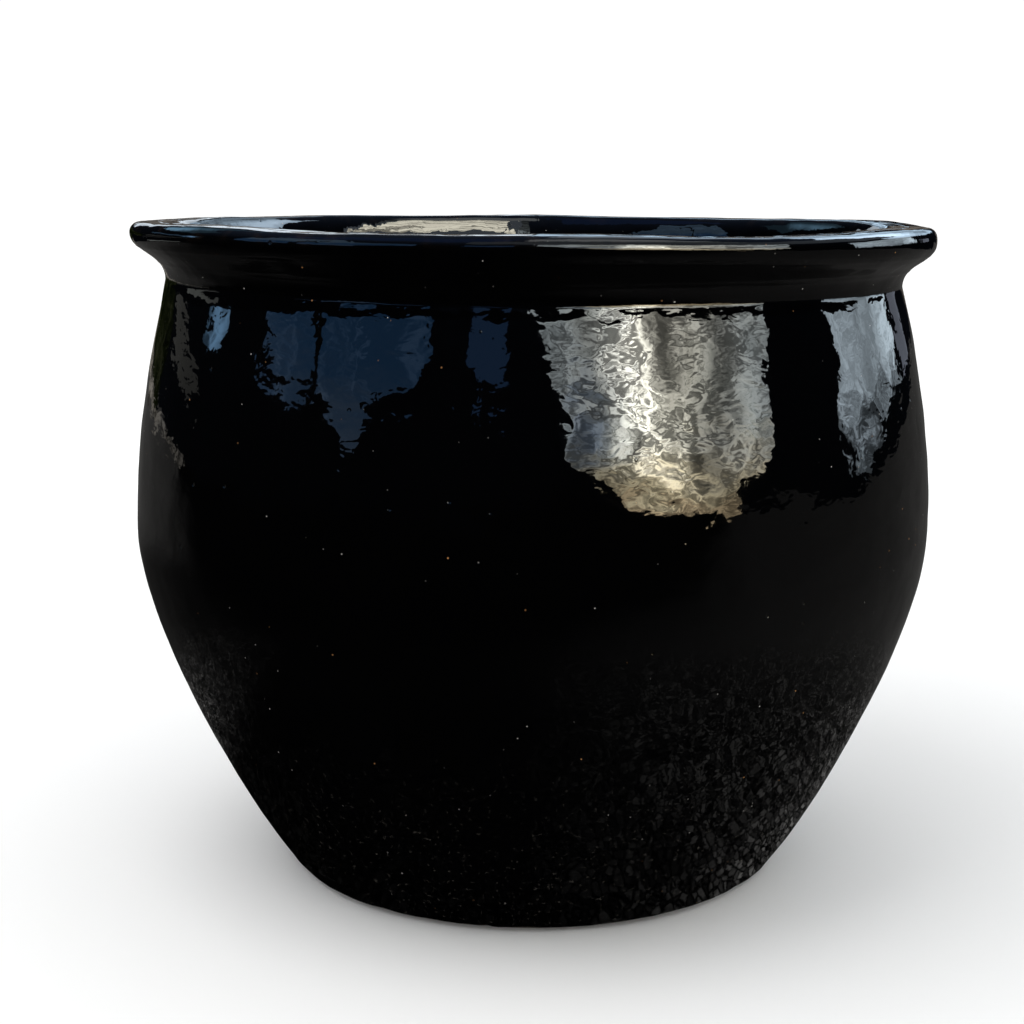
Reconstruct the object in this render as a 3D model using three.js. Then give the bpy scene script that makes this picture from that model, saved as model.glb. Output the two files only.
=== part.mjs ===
// A large round-bellied pot with a flanged rim, a narrow foot and a thick black glaze.
// The clay is built up in courses: a foot ring, a floor slab, three wall courses, a neck collar
// and a rim roll. Each course stands on the ridge of the one below, with a thin seam of slip
// between them. Two coats of glaze cover the clay: one outside, one over the rim and down inside.
//
// Millimetres, +Z up. The origin is the centre of the face that the pot stands on.

import * as THREE from "three";

// ---- Overall sizes, over the glaze ----
const RIM_DIAMETER = 500;
const HEIGHT = 408;
const BELLY_DIAMETER = 503;
const BELLY_HEIGHT = 223;
const FOOT_DIAMETER = 308;

// ---- Rim and neck ----
const RIM_OVERHANG = 20; // how far the rim stands out past the neck
const FLARE_ANGLE = Math.PI / 4; // slope of the rim's underside
const NECK_FILLET = 15;
const RIM_TOP_ROUND = 6; // outer edge, above
const RIM_UNDER_ROUND = 9; // outer edge, below
const RIM_INNER_ROUND = 9; // inner edge of the flat top, across
const RIM_INNER_FLARE = 28; // how far down inside that edge opens out
const RIM_ROLL_HEIGHT = 20; // from the top down to the seam with the collar

// ---- Clay ----
const CLAY_WALL = 13;
const FLOOR_THICKNESS = 16;
const FOOT_RING_HEIGHT = 8;
const FOOT_RING_WIDTH = 20;
const DRAIN_DIAMETER = 30;
const DRAIN_CHAMFER = 2;
const KEY_HEIGHT = 4; // ridge on the top edge of a course
const SEAM = 0.3; // slip between two courses, and the bond under the glaze

// ---- Glaze ----
const GLAZE = 1.2;
const OUTER_GLAZE_LINE = 2.5; // height at which the outer coat stops above the foot
const INNER_GLAZE_DEPTH = 110; // how far the inner coat runs down from the rim

// ---- How full the curves of the wall are, as shares of their height ----
const FOOT_TURN = 13; // width of the soft turn from the foot into the wall
const LOWER_FULLNESS = 0.33;
const UPPER_FULLNESS = 0.19;
const SHOULDER_FULLNESS = 0.56;
const SHOULDER_LEAN = 0.25; // inward slope of the wall where it meets the neck

// ---- Fineness of the mesh ----
const AROUND = 48;
const LOWER_STEPS = 8;
const UPPER_STEPS = 6;
const ARC_STEPS = 3;
const SHORTEST_STEP = 0.5; // a point nearer than this to the end of a stretch is left out

// ---- Sizes that follow from those above ----
const COAT = GLAZE + SEAM; // from the finished surface to the clay
const WALL = CLAY_WALL + 2 * COAT;
const RIM_RADIUS = RIM_DIAMETER / 2;
const NECK_RADIUS = RIM_RADIUS - RIM_OVERHANG;
const BELLY_RADIUS = BELLY_DIAMETER / 2;
const FOOT_RADIUS = FOOT_DIAMETER / 2;
const FLOOR_UNDERSIDE = FOOT_RING_HEIGHT + SEAM;
const FLOOR_TOP = FLOOR_UNDERSIDE + FLOOR_THICKNESS;
const COLLAR_TOP = HEIGHT - RIM_ROLL_HEIGHT;

const point = (r, z) => new THREE.Vector2(r, z);

// ---- Outlines: lists of (radius, height) points ----

// Points of an arc about (r, z), from one angle to another. It is an ellipse if it has a height.
function arc(r, z, radius, from, to, height = radius, steps = ARC_STEPS) {
  return new THREE.EllipseCurve(r, z, radius, height, from, to, to < from).getPoints(steps);
}

function joined(...lists) {
  const all = lists.flat();
  return all.filter((p, i) => i === 0 || p.distanceTo(all[i - 1]) > 1e-6);
}

// The outline moved to its left by a distance, with mitred corners. Going up the outside and
// down the inside, its left is always the clay.
function inset(outline, distance) {
  return outline.map((p, i) => {
    const before = outline[Math.max(i - 1, 0)];
    const after = outline[Math.min(i + 1, outline.length - 1)];
    const back = i > 0 ? p.clone().sub(before).normalize() : after.clone().sub(p).normalize();
    const ahead = i < outline.length - 1 ? after.clone().sub(p).normalize() : back;
    const left = point(-back.y - ahead.y, back.x + ahead.x).normalize();
    const stretch = 1 / Math.sqrt((1 + back.dot(ahead)) / 2);
    return p.clone().addScaledVector(left, distance * stretch);
  });
}

// Where a rising outline crosses a height.
function atHeight(outline, z) {
  const i = outline.findIndex((p, k) => k > 0 && outline[k - 1].y <= z && p.y >= z);
  const [low, high] = [outline[i - 1], outline[i]];
  return low.clone().lerp(high, (z - low.y) / (high.y - low.y));
}

// The stretch of a rising outline between two heights.
function between(outline, low, high) {
  const within = outline.filter((p) => p.y > low + SHORTEST_STEP && p.y < high - SHORTEST_STEP);
  return [atHeight(outline, low), ...within, atHeight(outline, high)];
}

// The underside of the rim runs down from the rim's outer edge at the flare angle, and a fillet
// turns it upright into the neck. This is the height at which the neck begins.
function neckHeight() {
  const underR = RIM_RADIUS - RIM_UNDER_ROUND * (1 - Math.cos(FLARE_ANGLE));
  const underZ = HEIGHT - RIM_TOP_ROUND - RIM_UNDER_ROUND * Math.sin(FLARE_ANGLE);
  const filletR = NECK_RADIUS + NECK_FILLET * (1 - Math.cos(FLARE_ANGLE));
  const filletZ = underZ - (underR - filletR) * Math.tan(FLARE_ANGLE);
  return filletZ - NECK_FILLET * Math.sin(FLARE_ANGLE);
}

const NECK_HEIGHT = neckHeight();
const SHOULDER = NECK_HEIGHT - BELLY_HEIGHT;

// Finished surface of the wall, from the edge of the foot to the neck.
function wallOutline() {
  const lower = new THREE.CubicBezierCurve(
    point(FOOT_RADIUS, 0),
    point(FOOT_RADIUS + FOOT_TURN, 0),
    point(BELLY_RADIUS, BELLY_HEIGHT * (1 - LOWER_FULLNESS)),
    point(BELLY_RADIUS, BELLY_HEIGHT),
  );
  const handle = SHOULDER * SHOULDER_FULLNESS;
  const upper = new THREE.CubicBezierCurve(
    point(BELLY_RADIUS, BELLY_HEIGHT),
    point(BELLY_RADIUS, BELLY_HEIGHT + SHOULDER * UPPER_FULLNESS),
    point(NECK_RADIUS + handle * SHOULDER_LEAN, NECK_HEIGHT - handle),
    point(NECK_RADIUS, NECK_HEIGHT),
  );
  return joined(lower.getPoints(LOWER_STEPS), upper.getPoints(UPPER_STEPS));
}

// Finished surface of the neck and the rim's outer edge, up to the flat top.
function rimOutline() {
  const edgeZ = HEIGHT - RIM_TOP_ROUND;
  return joined(
    arc(NECK_RADIUS + NECK_FILLET, NECK_HEIGHT, NECK_FILLET, Math.PI, Math.PI - FLARE_ANGLE),
    arc(RIM_RADIUS - RIM_UNDER_ROUND, edgeZ, RIM_UNDER_ROUND, -FLARE_ANGLE, 0),
    arc(RIM_RADIUS - RIM_TOP_ROUND, edgeZ, RIM_TOP_ROUND, 0, Math.PI / 2),
  );
}

const wall = wallOutline();
const outside = joined(wall, rimOutline());
const innerNeckRadius = NECK_RADIUS - WALL;
const innerRound = arc(
  innerNeckRadius + RIM_INNER_ROUND,
  HEIGHT - RIM_INNER_FLARE,
  RIM_INNER_ROUND,
  Math.PI / 2,
  Math.PI,
  RIM_INNER_FLARE,
  ARC_STEPS + 1,
);
const topMiddle = point((RIM_RADIUS - RIM_TOP_ROUND + innerRound[0].x) / 2, HEIGHT);

// The whole finished surface: up the outside, over the rim and down the inside.
const finish = joined(outside, [topMiddle], innerRound, inset(wall, WALL).reverse());
const clay = inset(finish, COAT);
const glazeBack = inset(finish, GLAZE);

const turn = finish.findIndex((p) => p.distanceTo(topMiddle) < 1e-6);
const clayOutside = clay.slice(0, turn + 1);
const clayInside = clay.slice(turn).reverse();

// ---- Solids ----

// A closed outline turned about the pot's axis.
function turned(name, outline, material) {
  const geometry = new THREE.LatheGeometry([...outline, outline[0].clone()], AROUND);
  const mesh = new THREE.Mesh(geometry, material);
  mesh.name = name;
  return mesh;
}

// The tip of the ridge on a course that ends at this height, in the middle of the wall.
function ridge(z) {
  return point((atHeight(clayOutside, z).x + atHeight(clayInside, z).x) / 2, z + KEY_HEIGHT);
}

// A course of clay between two seams: it ends in a ridge, and sits over the ridge below.
function course(name, low, high, { onRidge = true, withRidge = true } = {}) {
  const foot = low + SEAM;
  const groove = onRidge ? [ridge(low).add(point(0, SEAM))] : [];
  const key = withRidge ? [ridge(high)] : [];
  const outer = between(clayOutside, foot, high);
  const inner = between(clayInside, foot, high).reverse();
  return turned(name, [...outer, ...key, ...inner, ...groove], bareClay);
}

// The ring that the pot stands on, bare where it touches the ground.
function footRing() {
  const inner = FOOT_RADIUS - FOOT_RING_WIDTH;
  const start = clayOutside[0];
  const outer = between(clayOutside, start.y, FOOT_RING_HEIGHT);
  const outline = [point(inner, 0), point(start.x, 0), ...outer, point(inner, FOOT_RING_HEIGHT)];
  return turned("foot_ring", outline, bareClay);
}

// The floor, a slab pierced by a drain hole with broken edges.
function floorSlab() {
  const hole = DRAIN_DIAMETER / 2;
  const outline = [
    point(hole + DRAIN_CHAMFER, FLOOR_UNDERSIDE),
    ...between(clayOutside, FLOOR_UNDERSIDE, FLOOR_TOP),
    point(hole + DRAIN_CHAMFER, FLOOR_TOP),
    point(hole, FLOOR_TOP - DRAIN_CHAMFER),
    point(hole, FLOOR_UNDERSIDE + DRAIN_CHAMFER),
  ];
  return turned("floor_slab", outline, bareClay);
}

// The wall is three courses of equal height, from the floor to the neck.
function wallCourses() {
  const names = ["lower_wall", "belly_wall", "shoulder_wall"];
  const rise = (NECK_HEIGHT - FLOOR_TOP) / names.length;
  return names.map((name, i) => {
    const low = FLOOR_TOP + i * rise;
    return course(name, low, low + rise, { onRidge: i > 0 });
  });
}

// The roll of clay that makes the flange, laid over the collar's ridge.
function rimRoll() {
  const low = COLLAR_TOP + SEAM;
  const outer = clayOutside.filter((p) => p.y > low);
  const inner = clayInside.filter((p) => p.y > low).slice(0, -1);
  const outline = [
    atHeight(clayOutside, low),
    ...outer,
    ...inner.reverse(),
    atHeight(clayInside, low),
    ridge(COLLAR_TOP).add(point(0, SEAM)),
  ];
  return turned("rim_roll", outline, bareClay);
}

// The outer coat, from just above the foot to the middle of the rim's top.
function outerGlaze() {
  const faceEnd = finish.slice(0, turn + 1);
  const backEnd = glazeBack.slice(0, turn + 1);
  const start = OUTER_GLAZE_LINE;
  const face = [atHeight(faceEnd, start), ...faceEnd.filter((p) => p.y > start)];
  const back = [atHeight(backEnd, start + GLAZE), ...backEnd.filter((p) => p.y > start + GLAZE)];
  return turned("outer_glaze", [...face, ...back.reverse()], glossGlaze);
}

// The inner coat, from the middle of the rim's top down the inside.
function innerGlaze() {
  const end = HEIGHT - INNER_GLAZE_DEPTH;
  const clear = point(-SEAM, 0);
  const [face, back] = [finish, glazeBack].map((outline) => {
    const rising = outline.slice(turn).reverse();
    const kept = [atHeight(rising, end), ...rising.filter((p) => p.y > end)];
    kept[kept.length - 1] = kept[kept.length - 1].clone().add(clear);
    return kept;
  });
  return turned("inner_glaze", [...back, ...face.reverse()], glossGlaze);
}

// ---- The pot ----

const bareClay = new THREE.MeshStandardMaterial({ color: 0x3a3633, roughness: 0.85, metalness: 0 });
const glossGlaze = new THREE.MeshStandardMaterial({ color: 0x050506, roughness: 0.06, metalness: 0 });

const pot = new THREE.Group();
pot.rotation.x = Math.PI / 2; // a lathe turns about +Y, and the pot stands along +Z
pot.add(
  footRing(),
  floorSlab(),
  ...wallCourses(),
  course("neck_collar", NECK_HEIGHT, COLLAR_TOP),
  rimRoll(),
  outerGlaze(),
  innerGlaze(),
);

const part = new THREE.Group();
part.add(pot);

export default part;
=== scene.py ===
"""A large black glazed clay pot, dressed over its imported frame.

Every piece of the pot is a surface of revolution worked out from one outline, the finished
surface: up the outside, over the rim and down the inside. Arc length along that outline, and a
depth under it, say where the glaze and the clay lie. Sizes are in millimetres until a mesh is made.
"""
import math

import bpy
import numpy as np
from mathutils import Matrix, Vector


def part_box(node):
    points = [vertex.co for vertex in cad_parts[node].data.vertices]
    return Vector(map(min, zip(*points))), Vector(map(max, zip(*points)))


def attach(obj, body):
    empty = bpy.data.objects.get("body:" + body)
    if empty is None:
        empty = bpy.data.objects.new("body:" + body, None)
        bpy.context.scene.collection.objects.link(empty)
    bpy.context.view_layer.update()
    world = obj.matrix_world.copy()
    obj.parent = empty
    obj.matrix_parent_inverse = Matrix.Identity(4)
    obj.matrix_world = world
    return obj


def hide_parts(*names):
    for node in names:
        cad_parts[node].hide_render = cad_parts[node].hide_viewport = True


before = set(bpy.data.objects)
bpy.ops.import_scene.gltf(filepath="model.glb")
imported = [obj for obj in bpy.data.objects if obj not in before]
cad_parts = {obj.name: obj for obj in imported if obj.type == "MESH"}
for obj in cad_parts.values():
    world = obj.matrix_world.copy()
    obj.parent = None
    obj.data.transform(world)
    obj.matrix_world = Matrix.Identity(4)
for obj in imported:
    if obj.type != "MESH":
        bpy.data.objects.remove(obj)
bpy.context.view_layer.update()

MM = 0.001


# ---------------------------------------------------------------- sizes, from the frame

def span(node):
    """Lowest and highest height of a frame node, in millimetres."""
    low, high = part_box(node)
    return low.z / MM, high.z / MM


def reach(node):
    """Largest radius of a frame node, in millimetres."""
    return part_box(node)[1].x / MM


GLAZE = 1.2
BOND = 0.3
COAT = GLAZE + BOND
CLAY_WALL = 13.0
WALL = CLAY_WALL + 2 * COAT
KEY_HEIGHT = 4.0
HAIRLINE = 0.05
HEIGHT = span("outer_glaze")[1]
BELLY_RADIUS = reach("outer_glaze")
RIM_RADIUS = reach("rim_roll") + COAT
NECK_HEIGHT = span("shoulder_wall")[1] - KEY_HEIGHT
NECK_RADIUS = RIM_RADIUS - 20.0
FOOT_RADIUS = 154.0
FOOT_RING_WIDTH = 20.0
BELLY_HEIGHT = 223.0
FLOOR_UNDERSIDE, FLOOR_TOP = span("floor_slab")
FOOT_RING_TOP = span("foot_ring")[1]
DRAIN_RADIUS = 15.0
OUTER_GLAZE_LINE = span("outer_glaze")[0]
INNER_GLAZE_LINE = span("inner_glaze")[0]
SEAMS = [span(n)[1] - KEY_HEIGHT for n in ("lower_wall", "belly_wall", "shoulder_wall", "neck_collar")]

RIM_EDGE = 6.0
LIP_UNDER = 9.0
NECK_FILLET = 15.0
INNER_FLARE = (9.0, 28.0)
MEAN_RADIUS = 235.0

AROUND = 432
TURN = np.linspace(0, 2 * np.pi, AROUND, endpoint=False)


# ---------------------------------------------------------------- the finished outline

def bezier(a, b, c, d, steps):
    """Cubic curve: the four points weighted by (1-t)^3, 3t(1-t)^2, 3(1-t)t^2 and t^3."""
    t = np.linspace(0, 1, steps)[:, None]
    a, b, c, d = (np.array(p, float) for p in (a, b, c, d))
    return (1 - t) ** 3 * a + 3 * t * (1 - t) ** 2 * b + 3 * (1 - t) * t * t * c + t ** 3 * d


def arc(centre, wide, high, start, end, steps):
    """Ellipse arc: the centre plus (wide cos a, high sin a), a running evenly between two angles
    in degrees."""
    a = np.radians(np.linspace(start, end, steps))
    return np.column_stack([centre[0] + wide * np.cos(a), centre[1] + high * np.sin(a)])


def evenly(points, spacing):
    """The same line with a point at every spacing of its arc length."""
    gaps = np.hypot(*np.diff(points, axis=0).T)
    points = points[np.append(True, gaps > 1e-9)]
    length = np.append(0, np.cumsum(np.hypot(*np.diff(points, axis=0).T)))
    at = np.linspace(0, length[-1], int(length[-1] / spacing) + 1)
    return np.column_stack([np.interp(at, length, points[:, k]) for k in (0, 1)])


def inward(points):
    """Unit normals on the left of the line, from its central differences turned a quarter."""
    along = np.gradient(points, axis=0)
    along /= np.hypot(*along.T)[:, None]
    return np.column_stack([-along[:, 1], along[:, 0]])


def wall_outline():
    """Two cubic curves: foot to belly, where the line is upright, and belly to neck."""
    lean = (NECK_HEIGHT - BELLY_HEIGHT) * 0.56
    rise = (NECK_HEIGHT - BELLY_HEIGHT) * 0.19
    lower = bezier((FOOT_RADIUS, 0), (FOOT_RADIUS + 13, 0),
                   (BELLY_RADIUS, BELLY_HEIGHT * 0.67), (BELLY_RADIUS, BELLY_HEIGHT), 400)
    upper = bezier((BELLY_RADIUS, BELLY_HEIGHT), (BELLY_RADIUS, BELLY_HEIGHT + rise),
                   (NECK_RADIUS + lean * 0.25, NECK_HEIGHT - lean), (NECK_RADIUS, NECK_HEIGHT), 400)
    return np.vstack([lower, upper])


def finished_outline():
    """The wall, the neck's fillet, the flare, the lip's two roundings, the flat top, the inner
    flare, and the wall again at its own thickness. A short running average softens the crease at
    the neck, where glaze pools."""
    edge = HEIGHT - RIM_EDGE
    flare_in, flare_down = INNER_FLARE
    wall = evenly(wall_outline(), 0.25)
    inside = wall + inward(wall) * WALL
    inside = inside[inside[:, 1] > FLOOR_TOP - 1.5][::-1]
    top = arc((RIM_RADIUS - RIM_EDGE, edge), RIM_EDGE, RIM_EDGE, 0, 90, 40)
    inner = arc((NECK_RADIUS - WALL + flare_in, HEIGHT - flare_down), flare_in, flare_down,
                90, 180, 80)
    line = np.vstack([
        wall,
        arc((NECK_RADIUS + NECK_FILLET, NECK_HEIGHT), NECK_FILLET, NECK_FILLET, 180, 135, 40),
        arc((RIM_RADIUS - LIP_UNDER, edge), LIP_UNDER, LIP_UNDER, -45, 0, 40),
        top, inner, inside,
    ])
    line = evenly(line, 0.25)
    weights = np.hanning(13) / np.hanning(13).sum()
    padded = np.pad(line, ((6, 6), (0, 0)), mode="edge")
    soft = np.column_stack([np.convolve(padded[:, k], weights, "valid") for k in (0, 1)])
    soft[:8], soft[-8:] = line[:8], line[-8:]
    return soft


PATH = finished_outline()
PATH_S = np.append(0, np.cumsum(np.hypot(*np.diff(PATH, axis=0).T)))
PATH_IN = inward(PATH)
CROWN = PATH_S[np.argmin(np.hypot(PATH[:, 0] - (RIM_RADIUS + NECK_RADIUS - WALL + 3) / 2,
                                  PATH[:, 1] - HEIGHT))]


def s_at(height, inside=False):
    """Arc length at which the outline reaches a height, on the way up or on the way down."""
    part = (PATH_S > CROWN) if inside else (PATH_S <= CROWN)
    z, s = PATH[part, 1], PATH_S[part]
    order = np.argsort(z)
    return float(np.interp(height, z[order], s[order]))


# ---------------------------------------------------------------- hand-made unevenness

class Ripple:
    """A sum of cosine waves over the turn and the arc length. Each wave has a whole number of
    periods round the pot at its mean radius, a random heading and phase, and a length drawn from
    a band; stretch above 1 lays the waves along the throwing direction."""

    def __init__(self, seed, shortest, longest, height, waves=48, stretch=1.0):
        rng = np.random.default_rng(seed)
        pitch = 2 * np.pi / np.exp(rng.uniform(np.log(shortest), np.log(longest), waves))
        heading = rng.uniform(0, 2 * np.pi, waves)
        self.round = np.rint(pitch * np.cos(heading) / stretch * MEAN_RADIUS).astype(int)
        self.along = pitch * np.sin(heading)
        self.phase = rng.uniform(0, 2 * np.pi, waves)
        self.height = height * math.sqrt(2 / waves)

    def __call__(self, turn, s):
        turn, s = np.broadcast_arrays(turn, s)
        total = np.zeros(turn.shape)
        for m, q, p in zip(self.round, self.along, self.phase):
            total += np.cos(m * turn + q * s + p)
        return total * self.height


SWELL = Ripple(3, 120, 320, 0.30)
HAND = Ripple(5, 45, 110, 0.16, stretch=1.5)
DIMPLE = Ripple(11, 20, 42, 0.055)
PEEL = Ripple(17, 10, 19, 0.020, waves=64)


def bump_at(turn, centre, width):
    """A bell over the turn: exp(-(angle / width)^2), the angle taken the short way round."""
    away = np.angle(np.exp(1j * (turn - centre)))
    return np.exp(-(away / width) ** 2)


FRONT = -np.pi / 2


def rising(value, low, high):
    """Smooth step: 0 below low, 1 above high, and 3u^2 - 2u^3 between."""
    u = np.clip((value - low) / (high - low), 0, 1)
    return u * u * (3 - 2 * u)


RIM_WAVES = [(-0.93, 0.20, -0.9), (-0.50, 0.25, 1.2), (0.45, 0.35, 1.4), (-2.50, 0.40, 1.5)]


def settled(turn, s):
    """How far the wall has sunk or risen, in millimetres, by turn and arc length. The rim sinks
    towards +X. There the lip hangs thicker, and on the other side the crease of the neck is drawn
    up. A few slow waves run round the lip."""
    height = np.interp(s, PATH_S, PATH[:, 1])
    east = np.clip(np.cos(turn), 0, 1) ** 1.5
    west = np.clip(-np.cos(turn), 0, 1) ** 1.5
    under = s < CROWN
    drawn_up = 3.0 * west * rising(height, 352, 374) * (1 - rising(height, 382, 397)) * under
    hung = -2.8 * east * rising(height, 383, 394) * (1 - rising(height, 398, 406)) * under
    waves = sum(rise * bump_at(turn, centre, width) for centre, width, rise in RIM_WAVES)
    sunk = -1.7 * np.cos(turn) * np.clip((height - 200) / 200, 0, 1) ** 2
    return sunk + drawn_up + hung + waves * np.exp(-((s - CROWN) / 26) ** 2)


# ---------------------------------------------------------------- shells of revolution

FINGER_LINES = [s_at(NECK_HEIGHT + 10.5), s_at(NECK_HEIGHT + 22.5)]


def on_path(s, depth, face=0.0):
    """Rows of points at arc length s and a depth under the finished surface. The swell and hand
    ripples move every layer together; face scales the dimples that only the glaze's skin has."""
    s = np.broadcast_to(s, (np.shape(s)[0], AROUND))
    lift = SWELL(TURN, s) + HAND(TURN, s) + face * (DIMPLE(TURN, s) + PEEL(TURN, s))
    lift = lift + face * sum(0.22 * np.exp(-((s - line) / 1.0) ** 2) for line in FINGER_LINES)
    fade = np.clip(s / 12, 0, 1)
    deep = depth - lift * fade
    r = np.interp(s, PATH_S, PATH[:, 0]) + np.interp(s, PATH_S, PATH_IN[:, 0]) * deep
    z = np.interp(s, PATH_S, PATH[:, 1]) + np.interp(s, PATH_S, PATH_IN[:, 1]) * deep
    return r, z + settled(TURN, s) * fade


def ring(r, z):
    """One row of points at a radius and a height, either of which may vary round the pot."""
    return np.broadcast_to(r, (1, AROUND)), np.broadcast_to(z, (1, AROUND))


def column(values):
    """Values as one row each, ready to be spread round the pot."""
    return np.asarray(values, float)[:, None]


def shell(name, rows, material, node):
    """A closed solid of revolution: rows of (radius, height) are joined into a loop, the loop is
    carried round the axis, and each four neighbours make a face. Faces are turned outwards by the
    sign of the volume."""
    r = np.vstack([part[0] for part in rows])
    z = np.vstack([part[1] for part in rows])
    points = np.stack([r * np.cos(TURN), r * np.sin(TURN), z], -1).reshape(-1, 3) * MM
    count = len(r)
    i, j = np.meshgrid(np.arange(count), np.arange(AROUND), indexing="ij")
    up, on = (i + 1) % count, (j + 1) % AROUND
    corners = [i * AROUND + j, i * AROUND + on, up * AROUND + on, up * AROUND + j]
    faces = np.stack(corners, -1).reshape(-1, 4)
    a, b, c, d = (points[faces[:, k]] for k in range(4))
    if np.einsum("ij,ij->", a, np.cross(b, c)) + np.einsum("ij,ij->", a, np.cross(c, d)) < 0:
        faces = faces[:, ::-1]
    mesh = bpy.data.meshes.new(name)
    mesh.vertices.add(len(points))
    mesh.vertices.foreach_set("co", points.ravel())
    mesh.loops.add(faces.size)
    mesh.loops.foreach_set("vertex_index", faces.ravel())
    mesh.polygons.add(len(faces))
    mesh.polygons.foreach_set("loop_start", np.arange(0, faces.size, 4))
    mesh.polygons.foreach_set("use_smooth", np.ones(len(faces), bool))
    mesh.update(calc_edges=True)
    mesh.validate()
    mesh.materials.append(material)
    piece = bpy.data.objects.new(name, mesh)
    bpy.context.scene.collection.objects.link(piece)
    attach(piece, "root")
    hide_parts(node)
    return piece


# ---------------------------------------------------------------- material maths

class Value:
    """A material socket with arithmetic: each operator adds its Math node."""

    def __init__(self, finish, socket):
        self.finish, self.socket = finish, socket

    def __add__(self, other):
        return self.finish.math("ADD", self, other)

    def __sub__(self, other):
        return self.finish.math("SUBTRACT", self, other)

    def __rsub__(self, other):
        return self.finish.math("SUBTRACT", other, self)

    def __mul__(self, other):
        return self.finish.math("MULTIPLY", self, other)

    __radd__, __rmul__ = __add__, __mul__


class Finish:
    """A material in the making, around one shader node."""

    def __init__(self, name, shader="ShaderNodeBsdfPrincipled", **fixed):
        self.material = bpy.data.materials.new(name)
        self.material.use_nodes = True
        self.tree = self.material.node_tree
        self.tree.nodes.clear()
        self.shader = self.tree.nodes.new(shader)
        out = self.tree.nodes.new("ShaderNodeOutputMaterial")
        self.tree.links.new(self.shader.outputs[0], out.inputs["Surface"])
        for socket, value in fixed.items():
            self.feed(self.shader.inputs[socket.replace("_", " ")], value)
        self.place = self.node("ShaderNodeTexCoord", output="Object")

    def feed(self, socket, value):
        if isinstance(value, Value):
            self.tree.links.new(value.socket, socket)
        else:
            socket.default_value = value

    def node(self, kind, settings=None, inputs=None, output=0):
        """Adds a node: its settings first, then its sockets' values or links."""
        made = self.tree.nodes.new(kind)
        for key, value in (settings or {}).items():
            setattr(made, key, value)
        for key, value in (inputs or {}).items():
            self.feed(made.inputs[key], value)
        return Value(self, made.outputs[output])

    def math(self, operation, a, b=0.0):
        return self.node("ShaderNodeMath", {"operation": operation}, {0: a, 1: b})

    def step(self, value, low, high):
        """0 below low, 1 above high, smooth between."""
        return self.node("ShaderNodeMapRange", {"interpolation_type": "SMOOTHSTEP"},
                         {"Value": value, "From Min": low, "From Max": high})

    def stretched(self, x=1.0, y=1.0, z=1.0):
        return self.node("ShaderNodeMapping", None, {"Vector": self.place, "Scale": (x, y, z)})

    def noise(self, scale, detail=2.0, rough=0.5, warp=0.0, where=None):
        return self.node("ShaderNodeTexNoise", None,
                         {"Vector": where or self.place, "Scale": scale, "Detail": detail,
                          "Roughness": rough, "Distortion": warp})

    def cells(self, scale, output, feature="F1"):
        return self.node("ShaderNodeTexVoronoi", {"feature": feature},
                         {"Vector": self.place, "Scale": scale}, output)

    def mix(self, share, a, b):
        return self.node("ShaderNodeMix", {"data_type": "RGBA"}, {0: share, 6: a, 7: b}, 2)

    def height(self):
        """Height above the ground, in metres."""
        return self.node("ShaderNodeSeparateXYZ", None, {0: self.place}, "Z")

    def bump(self, relief):
        """Relief given in metres, turned into a normal."""
        return self.node("ShaderNodeBump", None, {"Height": relief, "Distance": 1.0, "Strength": 1.0})

    def set(self, **inputs):
        for socket, value in inputs.items():
            self.feed(self.shader.inputs[socket.replace("_", " ")], value)
        return self.material


def rgb(r, g, b):
    return (r, g, b, 1.0)


def picked(paint, scale, share, size):
    """Sparse round dots: in a share of the cells, 1 at the cell's middle and 0 past the size."""
    tint = paint.cells(scale, "Color")
    lot = paint.node("ShaderNodeSeparateColor", None, {0: tint}, 0)
    chosen = paint.step(lot, 1 - share - 0.01, 1 - share + 0.01)
    away = paint.cells(scale, "Distance")
    return chosen * (1 - paint.step(away, size * 0.4, size))


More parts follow.
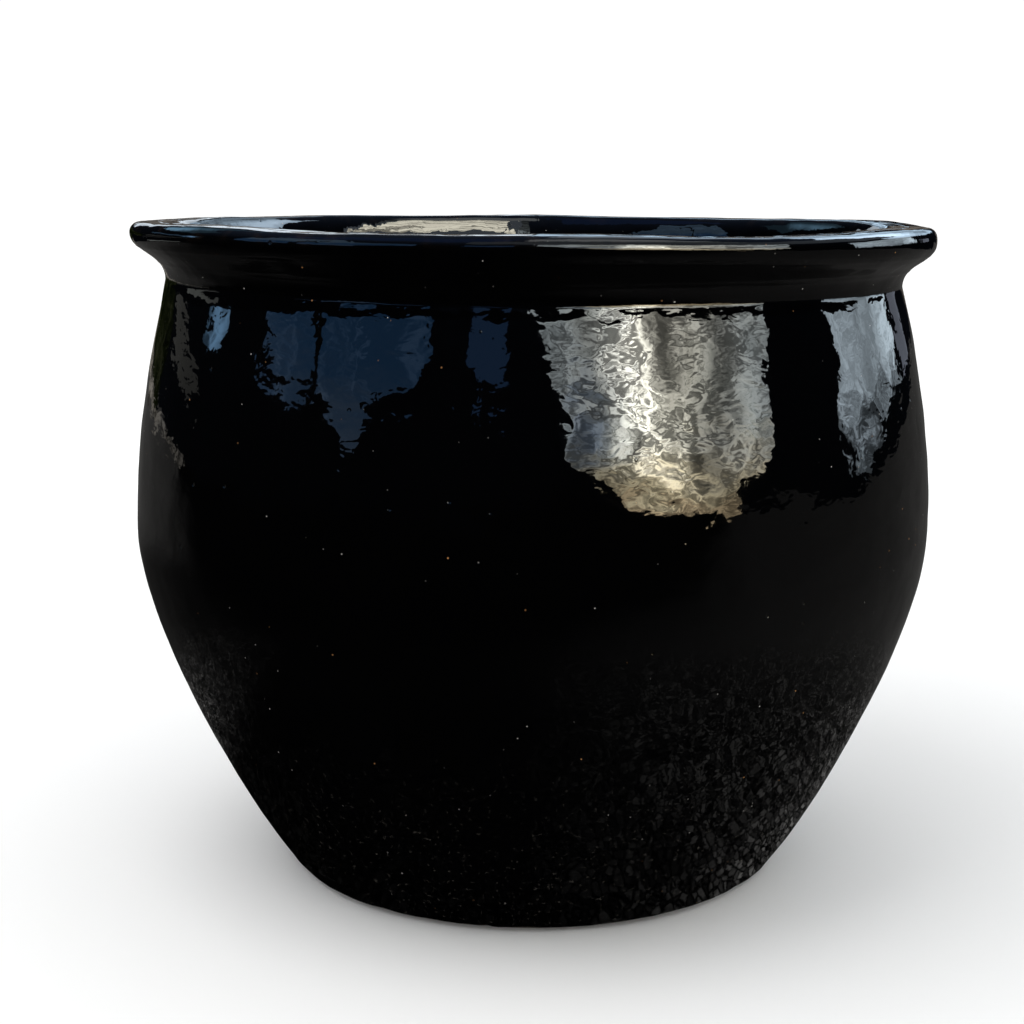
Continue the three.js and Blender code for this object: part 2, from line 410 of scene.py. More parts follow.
def black_glaze(name):
    """Thick glassy black glaze: orange peel, pinholes, throwing lines under it, mineral specks,
    a brown break on the lip and a little dried splash low down. Its black is set darker than a glaze's own,
    as painted shade."""
    paint = Finish(name, IOR=1.5, Specular_IOR_Level=0.5)
    laid = paint.stretched(1, 1, 1.4)
    fine = paint.noise(260, 1.0, 0.5)
    peel = paint.noise(110, 1.0, 0.5, 0.8, where=laid)
    broad = paint.noise(46, 1.0, 0.5, 0.6, where=laid)
    lines = paint.noise(1.0, 2.0, 0.5, where=paint.stretched(9, 9, 230))
    brushed = paint.noise(1.0, 2.0, 0.6, where=paint.stretched(7, 7, 640))
    pits = picked(paint, 95, 0.07, 0.13)
    beads = picked(paint, 150, 0.02, 0.16)
    up = paint.height()
    flare = paint.step(up, 0.368, 0.376) * (1 - paint.step(up, 0.390, 0.398))
    relief = fine * 0.000008 + peel * 0.00009 + broad * 0.00023 + lines * 0.00001
    relief = relief + beads * 0.00018 - pits * 0.00030 + brushed * flare * 0.00004
    specks = picked(paint, 400, 0.0035, 0.20)
    tan = picked(paint, 300, 0.0006, 0.20)
    low = 1 - paint.step(up, 0.02, 0.16)
    splash = paint.step(paint.noise(330, 3.0, 0.7), 0.60, 0.72) * low * 0.5
    lip = paint.step(up, 0.400, 0.4085)
    worn = lip * paint.step(paint.noise(70, 3.0, 0.6), 0.50, 0.72)
    # Painted shade: the glaze's own black is set darker still, as for a pot standing in shade.
    body = paint.mix(paint.noise(14, 3.0, 0.55), rgb(0.0002, 0.0002, 0.00025), rgb(0.0005, 0.0005, 0.0006))
    body = paint.mix(worn * 0.40, body, rgb(0.012, 0.007, 0.004))
    body = paint.mix(splash, body, rgb(0.060, 0.055, 0.047))
    body = paint.mix(specks, body, rgb(0.62, 0.60, 0.55))
    body = paint.mix(tan, body, rgb(0.55, 0.27, 0.10))
    film = paint.step(paint.noise(9, 4.0, 0.6, 0.8), 0.42, 0.78)
    rough = 0.022 + film * 0.035 + splash * 0.35 + specks * 0.5 + worn * 0.05
    return paint.set(Base_Color=body, Roughness=rough, Normal=paint.bump(relief))


def bare_clay(name):
    """Charcoal clay fired without glaze: grog, fine pores, streaks drawn by the fingers and a
    paler bloom where salts have dried."""
    paint = Finish(name, IOR=1.45, Specular_IOR_Level=0.35)
    grain = paint.noise(900, 3.0, 0.7)
    grog = picked(paint, 420, 0.10, 0.26)
    pores = picked(paint, 300, 0.10, 0.20)
    streak = paint.noise(1.0, 3.0, 0.6, where=paint.stretched(14, 14, 420))
    bloom = paint.step(paint.noise(22, 5.0, 0.62, 0.5), 0.50, 0.76)
    body = paint.mix(paint.noise(60, 5.0, 0.65), rgb(0.026, 0.022, 0.020), rgb(0.062, 0.053, 0.046))
    body = paint.mix(streak * 0.35, body, rgb(0.034, 0.029, 0.026))
    body = paint.mix(bloom * 0.45, body, rgb(0.135, 0.122, 0.106))
    body = paint.mix(grog * 0.6, body, rgb(0.16, 0.135, 0.11))
    body = paint.mix(pores * 0.7, body, rgb(0.012, 0.010, 0.009))
    relief = grain * 0.00009 + streak * 0.00010 + grog * 0.00008 - pores * 0.00022
    return paint.set(Base_Color=body, Roughness=0.74 + grain * 0.2 - bloom * 0.05,
                     Normal=paint.bump(relief))


GLOSS = black_glaze("black_glaze")
CLAY = bare_clay("charcoal_clay")


# ---------------------------------------------------------------- glaze coats

OUTER_SETTLING = 14.0
INNER_SETTLING = 34.0
RUNS = 30


def rolled_edge(distance, width=2.0, pool=0.5):
    """Thickness of glaze near its edge: a quarter round, then a fat line where it pooled."""
    near = np.clip(distance / width, 0, 1)
    return GLAZE * np.sqrt(1 - (1 - near) ** 2) + pool * np.exp(-((distance - 4) / 2.6) ** 2) * near


def outer_edge(turn):
    """How far the lower edge of the outer coat strays up from its line: small waves, and chips."""
    waves = Ripple(23, 18, 90, 0.55)(turn, 0.0)
    chips = 2.6 * bump_at(turn, FRONT - 0.17, 0.020) + 1.8 * bump_at(turn, FRONT - 0.24, 0.012)
    more = 2.2 * bump_at(turn, FRONT + 1.4, 0.02) + 2.4 * bump_at(turn, FRONT + 2.9, 0.03)
    return np.maximum(waves, -0.9) + chips + more


def inner_runs(turn):
    """How far the inner coat's lower edge strays: waves, and runs of glaze with round ends."""
    rng = np.random.default_rng(41)
    total = Ripple(29, 60, 400, 4.0)(turn, 0.0)
    for centre, width, drop in zip(rng.uniform(0, 2 * np.pi, RUNS), rng.uniform(0.016, 0.034, RUNS),
                                   rng.uniform(4, 20, RUNS)):
        total = total + drop * bump_at(turn, centre, width)
    return np.clip(total, -9, 24)


def outer_glaze():
    """Face rows from the lower edge to the crown, close together over the neck and the lip, and
    back rows under them. The edge's waves die away up the wall."""
    start = s_at(OUTER_GLAZE_LINE)
    neck = s_at(NECK_HEIGHT)
    s = np.concatenate([start + np.array([0, 0.15, 0.4, 0.8, 1.3, 2.0, 3.0, 4.2, 5.6, 7.2]),
                        np.linspace(start + 9, neck - 8, 102)[:-1],
                        np.linspace(neck - 8, neck + 6, 15)[:-1],
                        np.linspace(neck + 6, CROWN, 48)])
    edge = outer_edge(TURN)
    where = column(s) + edge * np.exp(-((column(s) - start) / OUTER_SETTLING) ** 2)
    depth = GLAZE - rolled_edge(where - (start + edge))
    face = on_path(where, depth, face=1.0)
    back_s = column(np.concatenate([np.linspace(CROWN, neck, 16)[:-1], np.linspace(neck, start + 2, 24)]))
    back = on_path(back_s + edge * np.exp(-((back_s - start) / OUTER_SETTLING) ** 2), GLAZE)
    return shell("glaze_outside", [face, back], GLOSS, "outer_glaze")


def inner_glaze():
    """Face rows from the crown over the inner flare and down to the runs, and back rows."""
    end = s_at(INNER_GLAZE_LINE, inside=True)
    s = np.concatenate([np.linspace(CROWN + HAIRLINE, CROWN + 44, 32)[:-1],
                        np.linspace(CROWN + 44, end - 8, 22)[:-1],
                        end - np.array([8, 6.4, 5, 3.8, 2.8, 2.0, 1.3, 0.8, 0.4, 0.15, 0])])
    runs = inner_runs(TURN)
    where = column(s) + runs * np.exp(-((column(s) - end) / INNER_SETTLING) ** 2)
    depth = GLAZE - rolled_edge(end + runs - where, pool=0.8)
    face = on_path(where, depth, face=1.0)
    back_s = column(np.concatenate([np.linspace(end - 2, CROWN + 30, 12)[:-1],
                                    np.linspace(CROWN + 30, CROWN + HAIRLINE, 10)]))
    back = on_path(back_s + runs * np.exp(-((back_s - end) / INNER_SETTLING) ** 2), GLAZE)
    return shell("glaze_inside", [face, back], GLOSS, "inner_glaze")


# ---------------------------------------------------------------- clay

def throwing(turn, s):
    """Ridges left by the fingers: a spiral wave of arc length plus turn, its height waxing and
    waning, sharpened at the crests."""
    wave = 0.5 + 0.5 * np.cos(2 * np.pi * s / 9.5 + turn)
    return 0.55 * wave ** 1.6 * (0.75 + 0.25 * np.cos(s / 31 + 2 * turn))


def bared(s):
    """1 where the inner clay is bare, falling to 0 before it passes under the glaze."""
    end = s_at(INNER_GLAZE_LINE, inside=True)
    return np.clip((s - end - 26) / 20, 0, 1)


def clay_inside(s):
    """Rows on the inner face of the clay, with the throwing ridges."""
    return on_path(column(s), COAT - throwing(TURN, column(s)) * bared(column(s)))


def ridge(height):
    """The tip of the key on a course that ends at this height, in the middle of the wall."""
    outer = np.interp(s_at(height), PATH_S, PATH[:, 0])
    inner = np.interp(s_at(height, True), PATH_S, PATH[:, 0])
    return (outer + inner) / 2, height + KEY_HEIGHT


def course(name, piece, low, high, keyed_below, keyed_above, fine):
    """Up the outside of the clay, over the key, down the inside and back over the key below."""
    rise = np.linspace(s_at(low + BOND), s_at(high), 14)
    steps = int((s_at(low, True) - s_at(high, True)) / fine)
    fall = np.linspace(s_at(high - HAIRLINE / 2, True), s_at(low + HAIRLINE / 2, True), max(steps, 6))
    rows = [on_path(column(rise), COAT)]
    if keyed_above:
        rows.append(ring(*ridge(high)))
    rows.append(clay_inside(fall))
    if keyed_below:
        r, z = ridge(low)
        rows.append(ring(r, z + BOND))
    return shell(piece, rows, CLAY, name)


def rim_roll():
    """The roll inside the lip, wholly under the glaze."""
    low = SEAMS[3]
    s = np.linspace(s_at(low + BOND), s_at(low + BOND, True), 46)
    r, z = ridge(low)
    return shell("rim_core", [on_path(column(s), COAT), ring(r, z + BOND)], CLAY, "rim_roll")


def floor_slab():
    """The floor: a spiral of finger marks on top, a rounded drain hole, a scraped underside."""
    edge_low = np.interp(s_at(FLOOR_UNDERSIDE), PATH_S, PATH[:, 0]) - COAT
    s = np.linspace(s_at(FLOOR_UNDERSIDE), s_at(FLOOR_TOP), 8)
    side = on_path(column(s), COAT)
    out = np.linspace(np.min(side[0][-1]) - 1, DRAIN_RADIUS + 5, 64)
    mark = 0.5
    marks = mark * (0.5 + 0.5 * np.cos(2 * np.pi * column(out) / 10 + TURN)) ** 1.6
    fade = np.clip((column(out) - DRAIN_RADIUS - 8) / 12, 0, 1)
    fade = fade * np.clip((FOOT_RADIUS - 8 - column(out)) / 8, 0, 1)
    top = (np.broadcast_to(column(out), (64, AROUND)),
           FLOOR_TOP - mark + marks * fade + mark * (1 - fade))
    above, below = 2.5, 2.0
    turnover = [ring(DRAIN_RADIUS + above * (1 - math.sin(a)), FLOOR_TOP - above * (1 - math.cos(a)))
                for a in np.radians([0, 22, 45, 68, 90])]
    under = [ring(DRAIN_RADIUS + below * (1 - math.cos(a)), FLOOR_UNDERSIDE + below * (1 - math.sin(a)))
             for a in np.radians([0, 30, 60, 90])]
    base = np.linspace(DRAIN_RADIUS + 5, edge_low - 4, 24)
    scrape = 0.18 * np.cos(2 * np.pi * column(base) / 6)
    inner = (np.broadcast_to(column(base), (24, AROUND)), FLOOR_UNDERSIDE + 0.25 + scrape + 0 * TURN)
    return shell("pot_floor", [side, top, *turnover, *under, inner], CLAY, "floor_slab")


def foot_ring():
    """The ring that the pot stands on: ground flat, its edges worn round and a little chipped."""
    inner = FOOT_RADIUS - FOOT_RING_WIDTH
    outer = FOOT_RADIUS - 1.0
    chip = 1.2 * bump_at(TURN, FRONT - 0.17, 0.02) + 0.9 * bump_at(TURN, FRONT + 0.9, 0.015)
    s = np.linspace(s_at(1.6), s_at(FOOT_RING_TOP), 8)
    side = on_path(column(s), COAT)
    rows = [ring(inner, FOOT_RING_TOP), ring(inner, 1.8), ring(inner + 0.5, 0.6), ring(inner + 1.6, 0.0)]
    rows += [ring(r, 0.0) for r in np.linspace(inner + 4, outer - 4, 6)]
    rows += [ring(outer - 1.2 - chip, 0.0), ring(outer - 0.3 - chip, 0.4),
             ring(outer + 0.1 - chip * 0.5, 1.2), side]
    return shell("standing_ring", rows, CLAY, "foot_ring")


foot_ring()
floor_slab()
course("lower_wall", "wall_lower", FLOOR_TOP + BOND, SEAMS[0], False, True, 2.0)
course("belly_wall", "wall_belly", SEAMS[0], SEAMS[1], True, True, 2.0)
course("shoulder_wall", "wall_shoulder", SEAMS[1], SEAMS[2], True, True, 2.4)
course("neck_collar", "collar", SEAMS[2], SEAMS[3], True, True, 4.0)
rim_roll()
outer_glaze()
inner_glaze()


# ---------------------------------------------------------------- studio

def staged(name, points, faces, material, **seen_by):
    """A sheet of the studio, seen only by the kinds of ray that are named."""
    mesh = bpy.data.meshes.new(name)
    mesh.from_pydata(points.tolist(), [], faces.tolist())
    mesh.materials.append(material)
    sheet = bpy.data.objects.new(name, mesh)
    bpy.context.scene.collection.objects.link(sheet)
    for kind in ("camera", "diffuse", "glossy", "transmission", "volume_scatter", "shadow"):
        setattr(sheet, "visible_" + kind, seen_by.get(kind, False))
    return sheet


def grid_faces(rows, columns):
    """The four-cornered faces between neighbouring rows and columns of points."""
    i, j = np.meshgrid(np.arange(rows - 1), np.arange(columns - 1), indexing="ij")
    a = (i * columns + j).ravel()
    return np.stack([a, a + 1, a + columns + 1, a + columns], -1)


def stray_line(seed, at, height):
    """Uneven edge of a sheet: a sum of sines of the bearing with shrinking heights."""
    rng = np.random.default_rng(seed)
    total = np.zeros(at.shape)
    for k in range(1, 9):
        total += np.sin(at * k * 0.37 + rng.uniform(0, 6.3)) * rng.uniform(0.5, 1) / k ** 0.7
    return total * height


DOME = 2.2
DOME_CENTRE = 0.3


def on_dome(bearing, elevation, out=DOME):
    """A point of a dome round the pot: bearing from the front towards +X, in degrees."""
    bearing, elevation = np.radians(bearing), np.radians(elevation)
    level = out * np.cos(elevation)
    return np.stack([level * np.sin(bearing), -level * np.cos(bearing),
                     DOME_CENTRE + out * np.sin(elevation)], -1)


def glow(paint, bearing, elevation, width, flat=1.0):
    """1 at a place on the dome, falling to 0 at a width in degrees; flat above 1 lays it down."""
    x, y, z = on_dome(bearing, elevation)
    away = paint.node("ShaderNodeVectorMath", {"operation": "DISTANCE"},
                      {0: paint.stretched(1, 1, flat), 1: (x, y, z * flat)}, "Value")
    return 1 - paint.step(away, 0.0, math.radians(width) * DOME)


def lit(name, look):
    """A glowing material whose look gives its colour and strength."""
    paint = Finish(name, "ShaderNodeEmission")
    tone, strength = look(paint)
    return paint.set(Color=tone, Strength=strength)


def steady(colour, power):
    """A look with one colour and one strength."""
    return lambda paint: (rgb(*colour), power)


ACROSS = 120


def light_sheet(name, low, high, look, ragged=0.0, lean=0.0, seed=1, out=DOME):
    """A soft light on the dome: low and high are its edges, as points of bearing and elevation in
    degrees, joined by straight lines and let stray. lean turns its right side outwards with
    elevation. look gives the colour and strength from the sheet's material."""
    rows = 40
    low, high = np.array(low, float).T, np.array(high, float).T
    bearing, share = np.meshgrid(np.linspace(low[0][0], low[0][-1], ACROSS), np.linspace(0, 1, rows),
                                 indexing="xy")
    across = (bearing - low[0][0]) / (low[0][-1] - low[0][0])
    bottom = np.interp(bearing, *low) + stray_line(seed, bearing * 2.4, ragged)
    elevation = bottom + (np.interp(bearing, *high) - bottom) * share
    sway = stray_line(seed + 5, elevation * 2.2, ragged * 0.5) * (1 - 2 * across)
    turn = bearing + sway + lean * across * np.maximum(elevation - 15, 0)
    points = on_dome(turn, elevation, out).reshape(-1, 3)
    return staged(name, points, grid_faces(rows, ACROSS), lit(name, look), glossy=True)


def draped(paint, scale=3.0, low=0.38, high=0.62):
    """Uneven brightness of a lit cloth: wide soft folds lying flat, 0 to 1."""
    laid = paint.stretched(1, 1, 2.6)
    return paint.step(paint.noise(scale, 3.0, 0.6, 1.6, where=laid), low, high)


# bearing, elevation, width in degrees, flatness, depth
HOLLOWS = [(37.5, 18.5, 6.5, 0.8, 0.90), (54, 14.5, 6.5, 0.9, 0.84), (52, 19.5, 5, 1.0, 0.75),
           (28, 10.5, 4.5, 1.5, 0.80), (45, 7, 6, 2.0, 0.85), (16, 14.5, 6, 1.8, 0.75),
           (13, 10.8, 7, 1.8, 0.80), (17, 19.8, 6, 2.2, 0.6)]


def warm_look(paint):
    """A sunlit cloth: a hot column, greyer to the left, dark hollows round it, tan below."""
    folds = draped(paint, 3.6, 0.40, 0.60)
    seams = paint.math("ABSOLUTE", paint.noise(5.2, 2.0, 0.55, 1.4, where=paint.stretched(1, 1, 1.8)) - 0.5)
    drawn = paint.step(seams, 0.0, 0.020)
    hot = glow(paint, 29, 18, 10, 0.5) + glow(paint, 34, 8, 13, 0.9) * 0.9
    hot = hot + glow(paint, 36, 30, 34, 0.8) * 0.3
    side = glow(paint, 58, 9, 10, 0.8) * 0.50 + glow(paint, 42, 2, 10, 1.2) * 0.45
    level = (0.58 + hot * 3.6 + side) * (0.22 + 1.3 * folds) * (0.40 + 0.60 * drawn)
    for bearing, elevation, width, flat, deep in HOLLOWS:
        level = level * (1 - deep * glow(paint, bearing, elevation, width, flat))
    up = paint.height()
    level = (level + 0.16) * (1 - 0.8 * paint.step(up, 1.30, 1.75))
    tone = paint.mix(glow(paint, 38, 14, 36, 0.6), rgb(0.84, 0.96, 1.0), rgb(1.0, 0.97, 0.82))
    tone = paint.mix(glow(paint, 14.5, 12.5, 9, 1.6), tone, rgb(0.62, 0.78, 1.0))
    tone = paint.mix(1 - paint.step(up, 0.34, 0.78), tone, rgb(1.0, 0.86, 0.56))
    tone = paint.mix(1 - paint.step(up, 0.26, 0.38), tone, rgb(1.0, 0.78, 0.48))
    return tone, level * 4.4


def blue_look(paint):
    """Clear sky, paler low down and high up, with thin cloud."""
    cloud = paint.step(paint.noise(3.4, 4.0, 0.6, 0.8, where=paint.stretched(1, 1, 2.0)), 0.46, 0.66)
    up = paint.height()
    low_down = 1 - paint.step(up, 0.50, 0.95)
    tone = paint.mix(low_down * 0.75 + cloud * 0.30, rgb(0.11, 0.33, 0.74), rgb(0.42, 0.62, 0.93))
    tone = paint.mix(paint.step(up, 1.15, 1.35), tone, rgb(0.42, 0.68, 1.0))
    return tone, 0.86 + 0.45 * cloud


def right_look(paint):
    """Hazy sky with thin cloud, brighter in two places and sinking into shade low down."""
    cloud = paint.step(paint.noise(3.4, 5.0, 0.65, 1.8, where=paint.stretched(1, 1, 1.6)), 0.36, 0.66)
    low_down = paint.step(paint.height() + 0.10 * cloud, 0.34, 0.56)
    spots = 1.1 * glow(paint, 96, 9, 16, 0.6) + 0.5 * glow(paint, 124, 5, 7, 0.4)
    level = (1.45 + 1.1 * cloud) * (1 + spots)
    return rgb(0.74, 0.89, 1.0), level * (0.13 + 0.87 * low_down)


def pane_look(paint):
    """A second, duller gap beside it."""
    cloud = paint.noise(5, 3.0)
    return rgb(0.74, 0.82, 1.0), 0.30 + 0.25 * cloud


def high_right_look(paint):
    """Haze above, brightest high up at the rear right."""
    cloud = paint.step(paint.noise(2.6, 4.0, 0.6, 1.4, where=paint.stretched(1, 1, 1.5)), 0.36, 0.66)
    rear = glow(paint, 126, 36, 27, 0.8)
    return paint.mix(rear, rgb(0.60, 0.80, 1.0), rgb(0.68, 0.86, 1.05)), (0.6 + 1.2 * cloud) + 7.0 * rear


def left_look(paint):
    """A gap of bright sky between dark trees."""
    return rgb(0.32, 0.62, 1.0), 0.35 + 2.6 * glow(paint, -101.5, 10.5, 6.0, 0.8)


def high_left_look(paint):
    """Sky over the trees, brightest low down."""
    return rgb(0.36, 0.70, 1.0), 0.25 + 1.4 * glow(paint, -133, 28, 15, 1.0)


def inner_look(paint):
    """The sunlit cloth again, as the inner wall catches it."""
    folds = draped(paint, 11, 0.36, 0.60)
    return rgb(1.0, 0.95, 0.78), 2.4 + 12.5 * folds


def hedge_look(paint):
    """Dull leaves and bark in shade."""
    leaf = paint.step(paint.noise(9, 5.0, 0.7), 0.42, 0.68)
    tone = paint.mix(leaf, rgb(0.25, 0.42, 0.06), rgb(0.75, 0.80, 0.42))
    return tone, 0.010 + 0.05 * leaf


def horizon_look(paint):
    """Far banks and walls in soft sun: pale and tan, broken by shade."""
    leaf = paint.step(paint.noise(14, 4.0, 0.65, where=paint.stretched(1, 1, 2)), 0.38, 0.62)
    tone = paint.mix(paint.noise(3, 2.0), rgb(1.0, 0.86, 0.66), rgb(0.92, 0.92, 0.90))
    return tone, 0.05 + 0.36 * leaf


def bank_look(paint):
    """Dry stalks and stones, brown and grey."""
    leaf = paint.step(paint.noise(18, 4.0, 0.7, where=paint.stretched(1, 1, 1.5)), 0.36, 0.66)
    tone = paint.mix(paint.noise(6, 3.0), rgb(1.0, 0.80, 0.58), rgb(0.80, 0.82, 0.86))
    return tone, 0.03 + 0.24 * leaf


light_sheet("sheet_warm",
            [(1, 22), (4, 19.5), (7, 16), (9.5, 10), (12, 6.5), (20, 1.5), (25, -1.4), (40, -2.4),
             (55, -3.8), (56, 2), (58, 3.6), (64.5, 4.6), (66.5, 8)],
            [(1, 62), (66.5, 62)], warm_look, 0.35, lean=0.4, seed=2)
light_sheet("sheet_above_warm", [(-4, 63), (100, 63)], [(-4, 84), (100, 84)],
            steady((0.92, 0.97, 1.0), 1.5), 1.0, seed=4)
light_sheet("sheet_blue",
            [(-82, 11.5), (-76, 11.2), (-72, 11.2), (-59, 10.2), (-54, 8.6), (-51.6, 5.8),
             (-46.4, 6.2), (-45.6, 9.6), (-42, 12), (-32, 14), (-29.5, 16)],
            [(-82, 46), (-60, 46), (-48, 30), (-29.5, 26)], blue_look, 0.25, seed=7)
light_sheet("sheet_slot", [(-17.5, 14), (-6.5, 15)], [(-17.5, 24), (-6.5, 24)],
            steady((0.115, 0.26, 0.58), 1.0), 0.8, seed=12)
light_sheet("sheet_above_blue", [(-100, 50), (-12, 50)], [(-100, 84), (-12, 84)],
            steady((0.20, 0.36, 0.9), 0.38), 1.0, seed=14)
light_sheet("dark_branch", [(-64.6, 10), (-62.2, 10)], [(-64.6, 40), (-62.2, 40)],
            steady((1, 1, 1), 0.01), 0.4, seed=19, out=2.12)
light_sheet("sheet_right",
            [(92.3, 0), (93.4, -0.6), (98.7, -1.4), (104.7, 0.2), (109, 0.9), (114, 1.9),
             (121, 1.2), (128, 1.0)],
            [(92.3, 21), (128, 21)], right_look, 0.3, seed=15)
light_sheet("sheet_right_pane", [(130.6, 0.6), (138.6, 0.2)], [(130.6, 7), (138.6, 5)],
            pane_look, 0.15, seed=16)
light_sheet("sheet_right_high", [(114, 21.5), (136, 14), (150, 10), (180, 6.5)],
            [(108, 48), (180, 42)], high_right_look, 0.5, seed=17)
light_sheet("sheet_left",
            [(-129, 12), (-113, 11), (-106, 8.1), (-102, 7.7), (-98.5, 9.5), (-96.5, 11.5)],
            [(-129, 14), (-96.5, 14)], left_look, 0.4, seed=21)
light_sheet("sheet_left_high", [(-154, 24), (-108, 25)], [(-154, 44), (-108, 38)],
            high_left_look, 0.8, seed=22)
light_sheet("sheet_grey_patch", [(-131, 3.3), (-121, 3.0), (-108, 2.8), (-105, 2.8)],
            [(-131, 4.2), (-127, 4.9), (-120, 5.2), (-108, 4.2), (-105, 3.2)],
            steady((1.0, 1.0, 0.94), 0.12), 0.2, seed=26)
light_sheet("sheet_hedge", [(-160, -2.5), (-133, -2.5)], [(-160, 6), (-133, 5)],
            hedge_look, 0.8, seed=28)
light_sheet("sheet_bank_left", [(-180, 0), (-157, 0)], [(-180, 6), (-157, 9)],
            bank_look, 0.8, seed=29)
light_sheet("sheet_far_left", [(-178, -4.4), (-110, -3.0)], [(-178, -2.6), (-110, -1.6)],
            horizon_look, 0.3, seed=33)
light_sheet("sheet_rear_left", [(-180, 6), (-150, 9)], [(-180, 20), (-150, 17)],
            steady((0.80, 0.90, 1.0), 1.3), 0.6, seed=25)
light_sheet("sheet_bank_right", [(152, 0), (180, 0)], [(152, 5.5), (180, 5)],
            bank_look, 0.8, seed=37)


def near_sheet(name, low, high, radius, look, centre=(0, 0)):
    """An upright curved sheet close to the pot: low and high are its edges, as points of bearing
    in degrees and height in metres."""
    rows = 12
    low, high = np.array(low, float).T, np.array(high, float).T
    bearing, share = np.meshgrid(np.linspace(low[0][0], low[0][-1], ACROSS), np.linspace(0, 1, rows),
                                 indexing="xy")
    height = np.interp(bearing, *low) * (1 - share) + np.interp(bearing, *high) * share
    turn = np.radians(bearing)
    points = np.stack([centre[0] + radius * np.sin(turn), centre[1] - radius * np.cos(turn), height], -1)
    return staged(name, points.reshape(-1, 3), grid_faces(rows, ACROSS), lit(name, look), glossy=True)


# A dark and a grey band mirrored just under the collar. The inner light is for the wall inside
# the mouth, and the two pale shades keep it and the warm sheet from glaring on the lip.
BY_INNER_WALL = (-0.07, 0.21)
PALE_SHADE = (0.74, 0.86, 1.0)
near_sheet("dark_band",
           [(-100, 0.377), (-80, 0.376), (-66, 0.380), (-49, 0.3885), (-18, 0.3925), (18, 0.3935),
            (49, 0.3932), (56, 0.3918), (62, 0.3893), (72, 0.386), (80, 0.3815), (95, 0.376)],
           [(-100, 0.3985), (95, 0.3985)], 0.30, steady((0.5, 0.6, 1.0), 0.004))
near_sheet("grey_band", [(-82, 0.3800), (-66, 0.3825)], [(-82, 0.3845), (-66, 0.3860)],
           0.296, steady((0.95, 1.0, 0.95), 0.32))
near_sheet("inner_light", [(20, 0.53), (61, 0.53)], [(20, 0.86), (61, 0.86)],
           0.30, inner_look, BY_INNER_WALL)
near_sheet("inner_shade", [(17, 0.50), (64, 0.50)], [(17, 0.90), (64, 0.90)],
           0.305, steady(PALE_SHADE, 1.0), BY_INNER_WALL)
near_sheet("lip_shade", [(-12, 0.505), (92, 0.505)], [(-12, 0.66), (92, 0.66)],
           0.38, steady(PALE_SHADE, 0.42))


def square(height, half=9.0):
    """The corners of a wide level square."""
    return np.array([[-half, -half, height], [half, -half, height],
                     [half, half, height], [-half, half, height]])


def pale_floor():
    """A plain pale floor, flat and wide, that glows with painted light away from the pot, up to the white
    of the room beyond the pot's shadow.
    """
    paint = Finish("pale_floor", Emission_Strength=1.0)
    tone = paint.mix(paint.noise(1.2, 3.0), rgb(0.86, 0.86, 0.86), rgb(0.89, 0.89, 0.885))
    away = paint.node("ShaderNodeVectorMath", {"operation": "LENGTH"}, {0: paint.place}, "Value")
    # Painted light: the floor glows more the further it lies from the pot.
    lift = paint.mix(paint.step(away, 0.45, 1.6), rgb(0, 0, 0), rgb(0.22, 0.22, 0.22))
    paint.set(Base_Color=tone, Roughness=0.9, Emission_Color=lift)
    return staged("floor", square(0), np.array([[0, 1, 2, 3]]), paint.material,
                  camera=True, diffuse=True, shadow=True)


def dim_ground():
    """What the glaze mirrors below the horizon: fine chippings beside the pot and open ground
    beyond, in shade at the front left and clearer to the right and the rear."""
    paint = Finish("dim_ground", "ShaderNodeEmission")
    x = paint.node("ShaderNodeSeparateXYZ", None, {0: paint.place}, "X")
    y = paint.node("ShaderNodeSeparateXYZ", None, {0: paint.place}, "Y")
    away = paint.node("ShaderNodeVectorMath", {"operation": "LENGTH"}, {0: paint.place}, "Value")
    chips_per_metre = 150
    stone = paint.cells(chips_per_metre, "Color")
    stone = paint.node("ShaderNodeSeparateColor", None, {0: stone}, 0)
    gap = paint.step(paint.cells(chips_per_metre, "Distance", "DISTANCE_TO_EDGE"), 0.0, 0.22)
    chips = (0.20 + 1.5 * stone * stone) * gap * (0.4 + 1.2 * paint.noise(260, 3.0, 0.6)) * 0.14
    beside = 0.04 + paint.step(x, -0.02, 0.22) + paint.step(0.5 * y - x, 0.25, 0.42)
    clear = 0.02 + paint.step(0.6 * x + y, -0.75, 0.0)
    shade = 0.75 * paint.step(-0.3 * y - x, -0.1, 0.2) * (1 - paint.step(away, 0.75, 1.5))
    ground = (0.055 + 0.035 * paint.noise(1.4, 5.0, 0.65)) * clear * (1 - shade)
    far = paint.step(away, 0.30, 0.56)
    paint.set(Color=rgb(1.0, 0.98, 0.95), Strength=chips * beside * (1 - far) + ground * far)
    return staged("ground_below", square(-MM), np.array([[0, 1, 2, 3]]), paint.material, glossy=True)


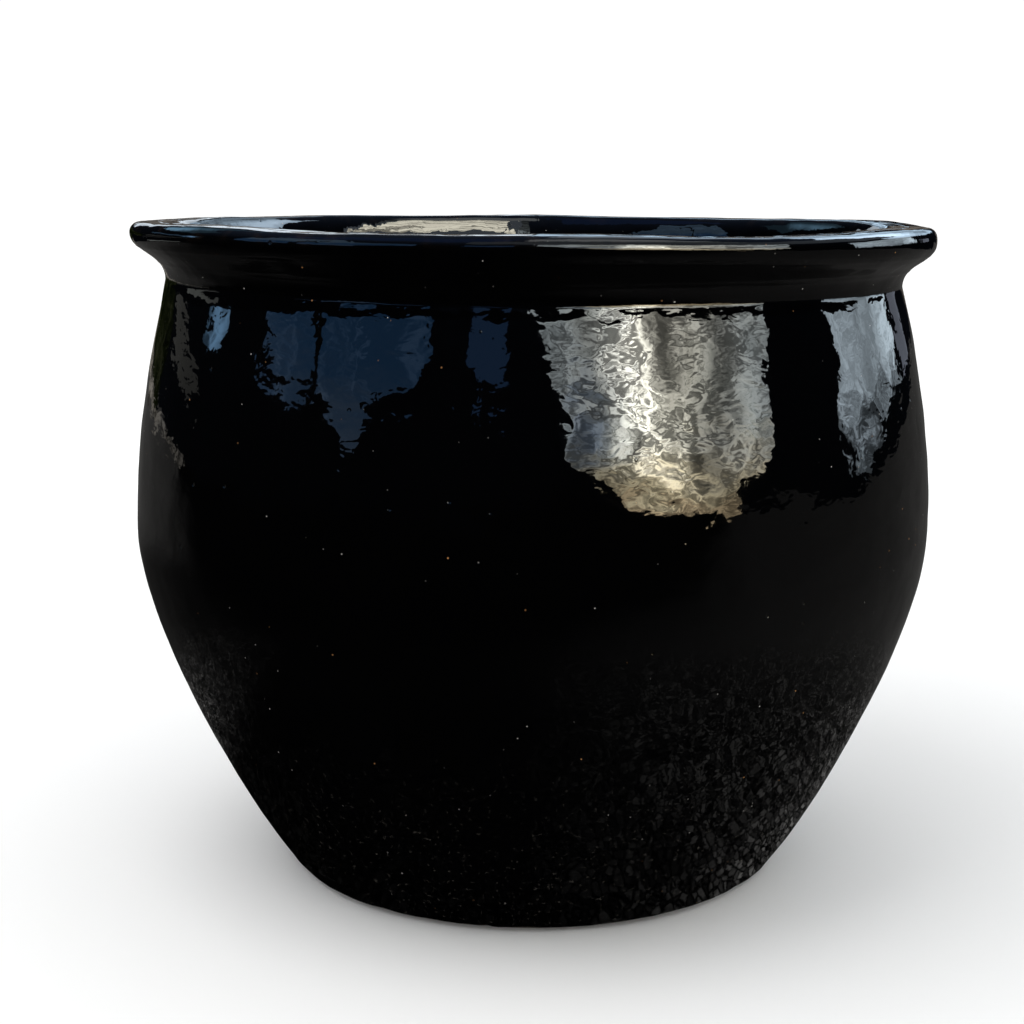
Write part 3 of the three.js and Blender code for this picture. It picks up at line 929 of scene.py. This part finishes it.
def sky():
    """White to the eye and to matt surfaces; to the glaze, a dim blue that is paler overhead."""
    world = bpy.data.worlds.new("studio")
    bpy.context.scene.world = world
    world.use_nodes = True
    nodes, links = world.node_tree.nodes, world.node_tree.links
    nodes.clear()
    out = nodes.new("ShaderNodeOutputWorld")
    mix = nodes.new("ShaderNodeMixShader")
    white, dim = nodes.new("ShaderNodeBackground"), nodes.new("ShaderNodeBackground")
    ray = nodes.new("ShaderNodeLightPath")
    place = nodes.new("ShaderNodeTexCoord")
    ramp = nodes.new("ShaderNodeValToRGB")
    height = nodes.new("ShaderNodeSeparateXYZ")
    links.new(place.outputs["Generated"], height.inputs[0])
    links.new(height.outputs["Z"], ramp.inputs["Fac"])
    low, top = ramp.color_ramp.elements
    low.position, low.color = 0.02, rgb(0.0035, 0.0045, 0.0065)
    top.position, top.color = 0.9, rgb(0.07, 0.10, 0.17)
    ramp.color_ramp.elements.new(0.34).color = rgb(0.005, 0.007, 0.012)
    links.new(ramp.outputs["Color"], dim.inputs["Color"])
    white.inputs["Color"].default_value = (1, 1, 1, 1)
    white.inputs["Strength"].default_value = 1.08
    links.new(ray.outputs["Is Glossy Ray"], mix.inputs["Fac"])
    links.new(white.outputs[0], mix.inputs[1])
    links.new(dim.outputs[0], mix.inputs[2])
    links.new(mix.outputs[0], out.inputs["Surface"])


def soft_light(name, place, size, watts):
    """A plain square softbox aimed at the middle of the pot. The glaze doesn't mirror it."""
    light = bpy.data.lights.new(name, "AREA")
    light.size, light.energy = size, watts
    lamp = bpy.data.objects.new(name, light)
    bpy.context.scene.collection.objects.link(lamp)
    lamp.location = place
    aim = np.array([0, 0, 0.2]) - np.array(place)
    tip = math.acos(-aim[2] / np.linalg.norm(aim))
    lamp.rotation_euler = (tip, 0, math.atan2(aim[1], aim[0]) - math.pi / 2)
    lamp.visible_camera = lamp.visible_glossy = False
    return lamp


def camera():
    """Set 1.15 m from the pot's axis and just over the rim, looking down and a hair to the left."""
    data = bpy.data.cameras.new("camera")
    data.sensor_width, data.lens = 36.0, 63.03
    eye = bpy.data.objects.new("camera", data)
    bpy.context.scene.collection.objects.link(eye)
    eye.location = (0, -1.15, 0.4381)
    eye.rotation_euler = (math.radians(90 - 10.64), 0, math.radians(0.655))
    bpy.context.scene.camera = eye


pale_floor()
dim_ground()
sky()
soft_light("soft_top", (-0.7, -0.5, 1.9), 1.4, 14)
camera()
bpy.context.scene.view_settings.view_transform = "Standard"
